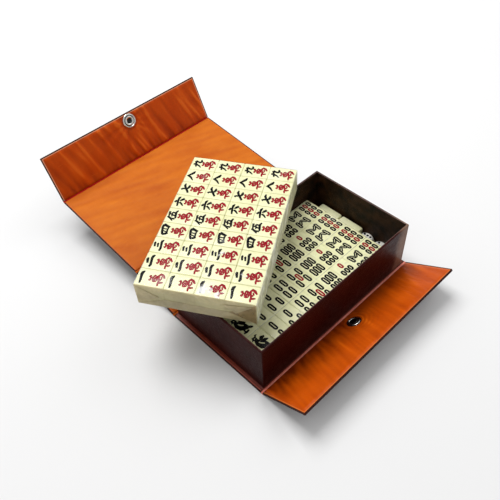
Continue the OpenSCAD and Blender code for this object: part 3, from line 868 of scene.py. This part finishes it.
NUMERALS = [
    [[(-7.9, 9.8, .6), (-4.4, 9.9, .8), (0, 10.6, .85), (3.5, 11.1, 1.1), (5.6, 10.6, 1.1),
      (7.4, 9.1, .4)]],
    [[(-4.1, 10.9, .7), (-1.8, 11.6, .8), (1.1, 12.6, 1.1), (3.1, 12.1, .6)],
     [(-8.3, 7.8, .7), (-5.4, 7.1, .9), (-1.1, 7.8, .8), (3.2, 8.5, .9), (5.7, 8.0, 1.0),
      (7.3, 6.6, .5)]],
    [[(-3.3, 11.6, .6), (-.7, 12.2, .7), (1.4, 12.9, .9), (3.2, 12.3, .5)],
     [(-3.6, 8.3, .55), (-1.4, 8.8, .6), (1.1, 9.5, .75), (2.3, 9.1, .4)],
     [(-8.1, 5.3, .7), (-5.0, 4.9, .8), (-.7, 5.5, .75), (3.6, 6.4, .85), (5.4, 6.1, .95),
      (7.1, 4.8, .4)]],
    [[(-7.2, 10.4, .8), (-5.9, 7.4, 1.0), (-4.2, 5.0, .9)],
     [(-7.2, 10.0, .8), (-2.9, 11.4, .8), (2.1, 12.7, .9), (5.4, 12.5, 1.1), (8.0, 10.6, .5)],
     [(6.3, 11.3, 1.1), (4.9, 8.1, 1.0), (3.6, 5.2, .9)],
     [(-4.6, 6.1, .7), (-.7, 6.6, .6), (4.0, 6.5, .6)],
     [(-2.1, 11.2, .5), (-2.5, 8.8, .5), (-3.4, 7.2, .4)],
     [(1.0, 11.9, .5), (.6, 8.6, .55), (1.2, 7.4, .4)]],
    [[(-2.3, 13.0, .8), (-4.3, 10.0, .8), (-7.9, 6.3, .45)],
     [(-4.7, 9.8, .7), (-4.8, 7.2, .7), (-4.9, 4.5, .8)],
     [(-2.5, 11.7, .5), (1.1, 12.3, .6), (5.2, 12.8, .9)],
     [(1.9, 12.4, .6), (.8, 9.5, .6), (-.5, 6.0, .6)],
     [(-2.3, 8.7, .45), (1.1, 9.2, .5), (4.1, 9.9, .6)],
     [(4.1, 9.9, .7), (3.9, 8.0, .7), (3.5, 6.2, .6)],
     [(-4.2, 4.3, .6), (-1.1, 4.9, .75), (4.3, 6.0, .9), (7.7, 4.4, .5)]],
    [[(-2.2, 13.0, .6), (-.6, 11.9, .9), (1.0, 10.8, .9)],
     [(-7.6, 8.5, .5), (-3.2, 9.2, .75), (1.8, 9.9, .75), (5.4, 9.7, .9), (7.4, 8.4, .4)],
     [(-1.1, 7.6, .8), (-3.2, 4.9, .7), (-6.1, 2.6, .4)],
     [(.6, 7.6, .5), (2.9, 6.0, 1.0), (5.0, 3.6, 1.0)]],
    [[(-6.6, 3.6, .7), (-2.9, 5.9, .8), (1.1, 8.6, .8), (4.3, 10.2, .9), (7.6, 9.9, .4)],
     [(-2.6, 12.6, .9), (-1.1, 11.0, .8), (-.6, 7.8, .8), (.5, 5.5, .9), (3.2, 4.7, 1.0),
      (5.9, 4.9, .4)]],
    [[(-.8, 11.4, .9), (-3.2, 8.0, .8), (-7.5, 4.7, .4)],
     [(-1.8, 12.6, .7), (1.1, 10.2, .9), (4.3, 7.2, 1.15), (7.6, 6.0, .5)]],
    [[(-1.4, 12.2, .8), (-1.9, 8.4, .8), (-3.6, 5.2, .7), (-6.4, 2.4, .4)],
     [(-5.9, 8.3, .6), (-1.1, 9.3, .7), (4.1, 10.9, .8)],
     [(4.2, 10.9, .8), (2.6, 7.8, .85), (1.9, 5.4, .95), (3.6, 3.9, 1.0), (7.0, 4.7, .5)]],
]
TEN_THOUSAND = [
    [(-2.5, 2.4, .65), (-.9, -.2, .6)],
    [(2.5, 2.8, .75), (1.1, .1, .6)],
    [(-3.5, 1.0, .5), (0, .8, .55), (3.5, 1.7, .65)],
    [(1.3, -.2, .55), (-.7, -1.6, .6), (-4.1, -3.2, .45)],
    [(-3.6, -1.9, .6), (-3.3, -3.6, .65), (-2.6, -5.4, .6)],
    [(-3.7, -2.0, .5), (0, -1.6, .5), (3.7, -1.7, .6)],
    [(3.9, -1.5, .7), (3.3, -3.4, .7), (2.4, -5.3, .65)],
    [(-2.9, -3.6, .35), (0, -3.4, .35), (3.1, -3.5, .4)],
    [(-2.7, -5.2, .5), (0, -5.0, .5), (2.6, -4.9, .5)],
    [(.1, -1.2, .5), (-.1, -5.2, .6), (-.6, -9.8, .65)],
    [(-8.2, -8.4, .5), (-5.7, -7.8, .65), (-2.9, -8.0, .65), (0, -7.1, .6), (4.6, -6.0, .7)],
    [(-4.3, -7.8, .7), (-3.8, -10.0, .8), (-3.0, -12.4, .45)],
    [(4.0, -5.8, .6), (6.2, -7.7, 1.0), (5.2, -9.9, 1.0), (1.8, -12.7, .5)],
    [(.0, -9.9, .5), (1.6, -9.4, .55), (3.4, -8.7, .45)],
]


def capsule(x, y, length, width, lean=0.0, corners=4):
    """A stick's outline with round ends, leaning by some degrees."""
    radius = width / 2
    points = []
    for side, start in ((1, 0), (-1, 180)):
        for i in range(corners + 1):
            angle = math.radians(start + 180 * i / corners)
            points.append(Vector((radius * math.cos(angle),
                                  side * (length / 2 - radius) + radius * math.sin(angle))))
    turn = Matrix.Rotation(math.radians(lean), 2)
    return [turn @ p + Vector((x, y)) for p in points]


def stick(x, y, length, width, ink, lean=0.0):
    """A bamboo stick: a painted capsule round a bare slot."""
    return [(capsule(x, y, length + 0.4, width + 0.5, lean), ink),
            (capsule(x, y, length - width * 0.85, width * 0.17, lean, corners=2), 0)]


BLACK, RED = 1, 2


def bird():
    """A plain generic bird for the one of bamboos."""
    body = [[(-2.6, 6.8, 1.3), (-3.4, 2.6, 2.2), (-1.6, -1.6, 3.2), (1.2, -4.8, 2.4),
             (3.2, -7.6, 1.0)],
            [(-4.2, 6.6, 1.2), (-2.8, 8.6, 2.1), (-.8, 9.4, .9)],
            [(-4.2, 8.8, .7), (-6.8, 7.4, .2)],
            [(-1.2, 9.4, .5), (.6, 11.4, .6), (2.4, 11.0, .3)],
            [(1.6, -5.2, 1.0), (4.8, -8.4, 1.0), (7.0, -9.8, .5)],
            [(.4, 3.0, 1.2), (3.6, 5.4, 1.3), (6.8, 4.6, .5)],
            [(.6, .4, 1.1), (4.4, 1.0, 1.2), (7.4, -.4, .4)],
            [(-1.8, -4.0, .7), (-2.8, -7.4, .6), (-3.0, -9.6, .5)],
            [(-5.6, -9.6, .6), (-2.2, -10.2, .8), (1.4, -9.6, .6)]]
    eye = [(capsule(-2.8, 8.6, 1.3, 1.2, corners=3), 0)]
    wing = [[(-2.4, 3.0, .4), (-1.0, .2, .45), (1.0, -2.2, .3)]]
    return inked(body, BLACK) + eye + inked(wing, 0)


def stick_rows(*rows):
    """Rows of upright sticks, each as y, length, width, spacing and one ink for each stick."""
    sticks = []
    for y, length, width, spacing, *inks in rows:
        for i, ink in enumerate(inks):
            sticks += stick((i - (len(inks) - 1) / 2) * spacing, y, length, width, ink)
    return sticks


THREE = [BLACK] * 3
BAMBOOS = [
    bird(),
    stick_rows((6.4, 12.0, 4.7, 0, BLACK), (-6.8, 12.0, 4.7, 0, BLACK)),
    stick_rows((6.4, 12.0, 4.7, 0, BLACK), (-6.8, 12.0, 4.7, 11.6, BLACK, BLACK)),
    stick_rows((6.4, 12.0, 4.7, 8.2, BLACK, BLACK), (-6.8, 12.0, 4.7, 8.2, BLACK, BLACK)),
    stick_rows((6.4, 11.8, 4.7, 11.5, BLACK, BLACK), (0, 12.0, 4.6, 0, RED),
               (-6.8, 11.8, 4.7, 11.5, BLACK, BLACK)),
    stick_rows((6.4, 12.2, 4.7, 5.5, *THREE), (-6.8, 12.2, 4.7, 5.5, *THREE)),
    stick_rows((8.7, 8.2, 4.4, 0, RED), (-0.7, 8.0, 4.7, 5.5, *THREE),
               (-9.6, 8.0, 4.7, 5.5, *THREE)),
    [part for x, y, length, width, lean in
     ((-6.2, 6.0, 11.4, 4.1, 5), (6.2, 6.0, 11.4, 4.1, -5), (-2.4, 7.0, 8.4, 3.4, 42),
      (2.4, 7.0, 8.4, 3.4, -42), (-6.4, -7.6, 11.4, 4.1, -5), (6.4, -7.6, 11.4, 4.1, 5),
      (-2.4, -6.4, 8.4, 3.4, -42), (2.4, -6.4, 8.4, 3.4, 42))
     for part in stick(x, y, length, width, BLACK, lean)],
    stick_rows(*((y, 8.2, 4.6, 5.6, BLACK, RED, BLACK) for y in (8.6, -0.4, -9.4))),
]
CARVING_DEPTH = 0.35


def tile_blank(edge):
    """One tile, centred, with its length along Y, its face up and its edges rounded."""
    bm = cuboid((TILE_WIDTH, TILE_LENGTH, TILE_THICKNESS))
    round_edges(bm, bm.edges, edge)
    return bm


def carved_tile(figures):
    """A tile whose face is cut with figures: outlines, each with its ink, or 0 for bare."""
    bm = tile_blank(PACKED_EDGE)
    face = max(bm.faces, key=lambda f: f.calc_center_median().z)
    top = TILE_THICKNESS / 2
    points = [v.co.xy for v in face.verts]
    loops = [list(range(len(points)))]
    for outline, _ in figures:
        loops.append(list(range(len(points), len(points) + len(outline))))
        points += outline
    bmesh.ops.delete(bm, geom=[face], context="FACES_ONLY")
    spots, _, plates, _, _, sources = delaunay_2d_cdt(points, [], loops, 4, 1e-3, True)
    verts = [bm.verts.new((*spot, top)) for spot in spots]
    cut = {BLACK: [], RED: []}
    for plate, inside in zip(plates, sources):
        made = bm.faces.new([verts[i] for i in plate])
        if made.normal.z < 0:
            made.normal_flip()
        ink = figures[max(inside) - 1][1] if inside and max(inside) > 0 else 0
        if ink:
            cut[ink].append(made)
    merge(bm, 0.0005)
    for ink, faces in cut.items():
        faces = [f for f in faces if f.is_valid]
        if not faces:
            continue
        for part in faces:
            part.material_index = ink
        sunk = bmesh.ops.extrude_face_region(bm, geom=faces)["geom"]
        floor, lowered = faces_of(sunk), verts_of(sunk)
        bmesh.ops.translate(bm, vec=(0, 0, -CARVING_DEPTH), verts=lowered)
        bmesh.ops.delete(bm, geom=[f for f in faces if f.is_valid and f not in floor],
                         context="FACES_ONLY")
        for wall in {f for v in lowered for f in v.link_faces}:
            wall.material_index = ink
    return bm


PLAIN_TILE = as_mesh(tile_blank(PACKED_EDGE), "plain tile")
SPARE_TILE = as_mesh(tile_blank(TILE_EDGE), "spare tile")
CHARACTER_TILES = [as_mesh(carved_tile(inked(numeral, BLACK) + inked(TEN_THOUSAND, RED)),
                           f"character {i + 1}")
                   for i, numeral in enumerate(NUMERALS)]
BAMBOO_TILES = [as_mesh(carved_tile(figure), f"bamboo {i + 1}")
                for i, figure in enumerate(BAMBOOS)]
NUDGE = 0.04
SPARE_TILES = (("spare_one", "spare_tile_1", 34.8), ("spare_two", "spare_tile_2", 3.2))


def add_mesh(bm, mesh, at):
    """Puts a copy of a mesh into bm at a place."""
    count = len(bm.verts)
    bm.from_mesh(mesh)
    bm.verts.ensure_lookup_table()
    bmesh.ops.transform(bm, matrix=at, verts=bm.verts[count:])


def row_start(index, size, whole):
    """Where a tile starts in its row inside the film, from the middle of the block."""
    return index * (size + TILE_GAP) - whole / 2 + FILM_ROOM


def block_tiles(name, node, body, at, layer, first, last, tiles):
    """The tiles of some ranks in one layer of a block, each nudged a very little in its film."""
    bm = bmesh.new()
    for rank in range(first, last + 1):
        for across in range(ACROSS):
            x = row_start(across, TILE_LENGTH, BLOCK_DEPTH) + TILE_LENGTH / 2
            y = row_start(rank, TILE_WIDTH, BLOCK_LENGTH) + TILE_WIDTH / 2
            z = row_start(layer, TILE_THICKNESS, 0) + TILE_THICKNESS / 2
            nudge = NUDGE * noise.noise(Vector((across * 3.1, rank * 2.3, layer + 0.5)))
            add_mesh(bm, tiles[rank % len(tiles)],
                     at @ place(x + nudge, y + nudge, z + nudge, 90))
    make_piece(bm, name, body, [TILE_CREAM, PAINT_BLACK, PAINT_CRIMSON], [node])


for set_name, tiles, block, at, layer, first, last, meshes in (
    ("character_set", "character_tiles", "upper_block", AT_UPPER_BLOCK, 1, 0, 8, CHARACTER_TILES),
    ("dot_set", "dot_tiles", "upper_block", AT_UPPER_BLOCK, 0, 0, 8, [PLAIN_TILE]),
    ("bamboo_set", "bamboo_tiles", "lower_block", AT_LOWER_BLOCK, 1, 0, 8, BAMBOO_TILES),
    ("wind_set", "wind_tiles", "lower_block", AT_LOWER_BLOCK, 0, 0, 3, [PLAIN_TILE]),
    ("dragon_set", "dragon_tiles", "lower_block", AT_LOWER_BLOCK, 0, 4, 6, [PLAIN_TILE]),
    ("flower_set", "flower_tiles", "lower_block", AT_LOWER_BLOCK, 0, 7, 8, [PLAIN_TILE]),
):
    block_tiles(set_name, tiles, block, at, layer, first, last, meshes)

for name, node, y in SPARE_TILES:
    bm = bmesh.new()
    centre = (END_GAP_X + TILE_THICKNESS / 2, y, TRAY_FLOOR_Z + TILE_WIDTH / 2)
    add_mesh(bm, SPARE_TILE,
             Matrix.Translation(centre) @ Matrix.Rotation(math.radians(90), 4, "Y"))
    make_piece(bm, name, node, [TILE_CREAM], [node])


# Dice

PIP_REACH = 0.672
PIP_LEAST_DEPTH = 0.015


def die(name, node, turn):
    """A die from its CAD solid, its pips painted."""
    bm = from_node(node)
    low, high = (Vector(corner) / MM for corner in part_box(node))
    straight = Matrix.Rotation(math.radians(-turn), 3, "Z")
    for face in bm.faces:
        out = straight @ (face.calc_center_median() - (low + high) / 2)
        sunk = max(abs(c) for c in out) < DIE_SIZE / 2 - PIP_LEAST_DEPTH
        if sunk and out.length < PIP_REACH * DIE_SIZE:
            face.material_index = 1
    make_piece(bm, name, node, [DIE_WHITE, PAINT_BLACK], [node], sharp=30)


die("die_one", "die_1", 1.0)
die("die_two", "die_2", -1.0)


# Shrink film

FILM_ROUNDING = 1.4
PLATE_THICKNESS = 0.12
FOLD_TOP = BLOCK_HEIGHT - 1.0
FOLD_EDGE = BLOCK_DEPTH / 2 - 1.0
# The materials of a film after its clear one, by their number on the piece
END, SIDE, SEAM_AND_HIGHLIGHT, BROWN_SHADE = 1, 2, 3, 4
# Folded layers on a block's end: corners as x and z, lift off the face, and material
END_FOLDS = (
    (((-FOLD_EDGE, 1), (FOLD_EDGE, 1), (34, 12), (-30, 13)), 0.05, END),
    (((-FOLD_EDGE, FOLD_TOP), (-FOLD_EDGE, 1), (-36, 15)), 0.22, END),
    # This fold takes the brown film: painted shade
    (((FOLD_EDGE, 1), (FOLD_EDGE, FOLD_TOP), (33, 12)), 0.22, BROWN_SHADE),
    (((FOLD_EDGE - 3, FOLD_TOP - 3), (40, 12), (28, FOLD_TOP - 6)), 0.4, END),
)
JOINT_CUTS = (-7.5, -1.1, -0.35, 0.35, 1.1, 7.5)
DIP = 0.07
SLACK = 0.05
# How squarely a face looks along an axis to count as an end, a side, the top or an edge of it
END_FACING, SIDE_FACING, TOP_FACING, EDGE_FACING = 0.7, 0.6, 0.9, 0.3
SEAM_REACH = 0.4


def film_plate(bm, corners, lift, material, sign):
    """A folded layer of film on one end of a block, lifted off its face."""
    face_y = BLOCK_LENGTH / 2
    verts = [bmesh.ops.create_vert(bm, co=(x, sign * (face_y + lift), z))["vert"][0]
             for x, z in corners]
    plate = bmesh.ops.contextual_create(bm, geom=verts)["faces"]
    raised = bmesh.ops.extrude_face_region(bm, geom=plate)["geom"]
    bmesh.ops.translate(bm, vec=(0, sign * PLATE_THICKNESS, 0), verts=verts_of(raised))
    body = set(plate) | set(faces_of(raised))
    body |= {f for v in verts_of(raised) for f in v.link_faces}
    bmesh.ops.recalc_face_normals(bm, faces=list(body))
    for face in body:
        face.material_index = material


def shrink_film(name, node, body, at, seams, folds, clear):
    """The film round a block: tight on the tiles, dipping at their joints, folded at its ends."""
    bm = cuboid((BLOCK_DEPTH, BLOCK_LENGTH, BLOCK_HEIGHT))
    bmesh.ops.translate(bm, vec=(0, 0, BLOCK_HEIGHT / 2), verts=bm.verts)
    round_edges(bm, bm.edges, FILM_ROUNDING)
    joints_x = [row_start(i, TILE_LENGTH, BLOCK_DEPTH) for i in range(1, ACROSS)]
    joints_y = [row_start(i, TILE_WIDTH, BLOCK_LENGTH) for i in range(1, RANKS)]
    for axis, joints in ((0, joints_x), (1, joints_y), (2, [BLOCK_HEIGHT / 2])):
        for joint in joints:
            for offset in JOINT_CUTS:
                spot, out = Vector(), Vector()
                spot[axis] = joint + offset
                out[axis] = 1
                bmesh.ops.bisect_plane(bm, geom=bm.verts[:] + bm.edges[:] + bm.faces[:],
                                       plane_co=spot, plane_no=out)
    half = Vector((BLOCK_DEPTH, BLOCK_LENGTH, BLOCK_HEIGHT)) / 2
    for vert in bm.verts:
        x, y, z = vert.co
        z -= BLOCK_HEIGHT / 2
        near_joint = min(min(abs(x - j) for j in joints_x), min(abs(y - j) for j in joints_y))
        dip = DIP * (1 - smooth(near_joint, 0.3, 1.2))
        loose = SLACK + SLACK * noise.noise(Vector((x / 17, y / 17, z / 9 + 2)))
        for axis, value in enumerate((x, y, z)):
            if abs(abs(value) - half[axis]) < TOUCH:
                vert.co[axis] -= math.copysign(dip + loose, value)
    for face in bm.faces:
        x = face.calc_center_median().x
        on_seam = any(abs(x - seam) < SEAM_REACH for seam in seams)
        if abs(face.normal.y) > END_FACING:
            face.material_index = END
        elif abs(face.normal.x) > SIDE_FACING:
            face.material_index = SIDE
        elif face.normal.z > TOP_FACING and on_seam:
            face.material_index = SEAM_AND_HIGHLIGHT
        # Painted highlight: the lower film's rounded top edges take the seam film
        elif seams and EDGE_FACING < face.normal.z < TOP_FACING:
            face.material_index = SEAM_AND_HIGHLIGHT
    for sign in (-1, 1) if folds else ():
        for corners, lift, material in END_FOLDS:
            film_plate(bm, corners, lift, material, sign)
    carry(bm, at)
    make_piece(bm, name, body, [clear, FILM_MILKY, FILM_SIDE_LIT, FILM_SEAM_AND_HIGHLIGHT, FILM_BROWN_SHADE],
               [node], sharp=60)


shrink_film("upper_wrap", "upper_film", "upper_block", AT_UPPER_BLOCK, (), True, FILM_GLARED)
shrink_film("lower_wrap", "lower_film", "lower_block", AT_LOWER_BLOCK, (0.0, 30.1), False,
            FILM_CLEAR)


# CAD pieces that are shown as they are

def plain_material(node):
    """The material of a CAD node that no piece replaces, or None."""
    if node.endswith("_board"):
        return GREYBOARD
    if node.endswith("_skin"):
        return SKIN_BROWN
    return {"tray_lining": TRAY_PAPER, "snap_stud": STEEL, "snap_socket_rivet": STEEL}.get(node)


for node_name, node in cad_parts.items():
    if plain_material(node_name):
        node.data.materials.clear()
        node.data.materials.append(plain_material(node_name))


# Floor, light and camera

FLOOR_HALF = 6
FLOOR_SEEN = (0.77, 0.77, 0.77, 1)
FLOOR_LIT = (0.6, 0.6, 0.6, 1)
WORLD_LIGHT = 0.54
LAMP_AIM = (0, 0.08, 0)


def make_floor():
    """A plain pale floor, lighter to the camera and in reflections, that keeps the shadow."""
    bm = bmesh.new()
    bmesh.ops.create_grid(bm, x_segments=4, y_segments=4, size=FLOOR_HALF)
    floor = new_object("floor", as_mesh(bm, "floor"))
    floor.location.z = -0.0002
    material, tree, shader = new_material("floor")
    path = add(tree, "LightPath").outputs
    mirrored = math_node(tree, "MAXIMUM", path["Is Glossy Ray"], path["Is Transmission Ray"])
    seen = math_node(tree, "MAXIMUM", path["Is Camera Ray"], mirrored)
    away = add(tree, "VectorMath", {0: object_vector(tree)}, operation="LENGTH")
    bright = remap(tree, away.outputs["Value"], 0.6, 2.0, 0.0, 0.9)
    dress(tree, shader, blend_colour(tree, seen, FLOOR_LIT, FLOOR_SEEN), 0.9, 0.1)
    feed(tree, shader, {"Emission Color": (1, 1, 1, 1),
                        "Emission Strength": times(tree, path["Is Camera Ray"], bright)})
    floor.data.materials.append(material)


def make_lamp(name, where, size, power):
    """A square soft lamp, given in metres."""
    light = bpy.data.lights.new(name, "AREA")
    light.shape = "SQUARE"
    light.size = size
    light.energy = power
    lamp = new_object(name, light)
    lamp.location = where
    facing = Vector(LAMP_AIM) - Vector(where)
    lamp.rotation_euler = facing.to_track_quat("-Z", "Y").to_euler()


def make_world():
    world = bpy.data.worlds.new("studio")
    world.use_nodes = True
    tree = world.node_tree
    tree.nodes.clear()
    seen = add(tree, "LightPath").outputs["Is Camera Ray"]
    strength = remap(tree, seen, 0.0, 1.0, WORLD_LIGHT, 1.0)
    glow = add(tree, "Background", {"Color": (1, 1, 1, 1), "Strength": strength})
    add(tree, "OutputWorld", {"Surface": glow.outputs[0]})
    bpy.context.scene.world = world


# The photograph's view: degrees round the target, the target and distance in millimetres
AZIMUTH, ELEVATION, ROLL = (math.radians(a) for a in (-41.6039, 47.6748, -3.7325))
CAMERA_TARGET = Vector((7.0320, 75.2750, 2.4))
CAMERA_DISTANCE = 715.3708
LENS = 43.2965


def make_camera():
    back = Vector((math.sin(AZIMUTH) * math.cos(ELEVATION),
                   -math.cos(AZIMUTH) * math.cos(ELEVATION), math.sin(ELEVATION)))
    right = Vector((math.cos(AZIMUTH), math.sin(AZIMUTH), 0))
    up = back.cross(right)
    side = right * math.cos(ROLL) + up * math.sin(ROLL)
    above = up * math.cos(ROLL) - right * math.sin(ROLL)
    data = bpy.data.cameras.new("camera")
    data.sensor_fit = "HORIZONTAL"
    data.sensor_width = 36.0
    data.lens = LENS
    data.clip_start = 0.01
    data.clip_end = 50
    camera = new_object("camera", data)
    turn = Matrix((side, above, back)).transposed().to_4x4()
    where = (CAMERA_TARGET + back * CAMERA_DISTANCE) * MM
    camera.matrix_world = Matrix.Translation(where) @ turn
    bpy.context.scene.camera = camera


make_floor()
make_lamp("overhead", (0.08, 0.75, 1.6), size=1.0, power=24)
make_lamp("right_fill", (1.3, -0.3, 1.3), size=1.2, power=6)
make_world()
make_camera()
bpy.context.scene.view_settings.view_transform = "Standard"
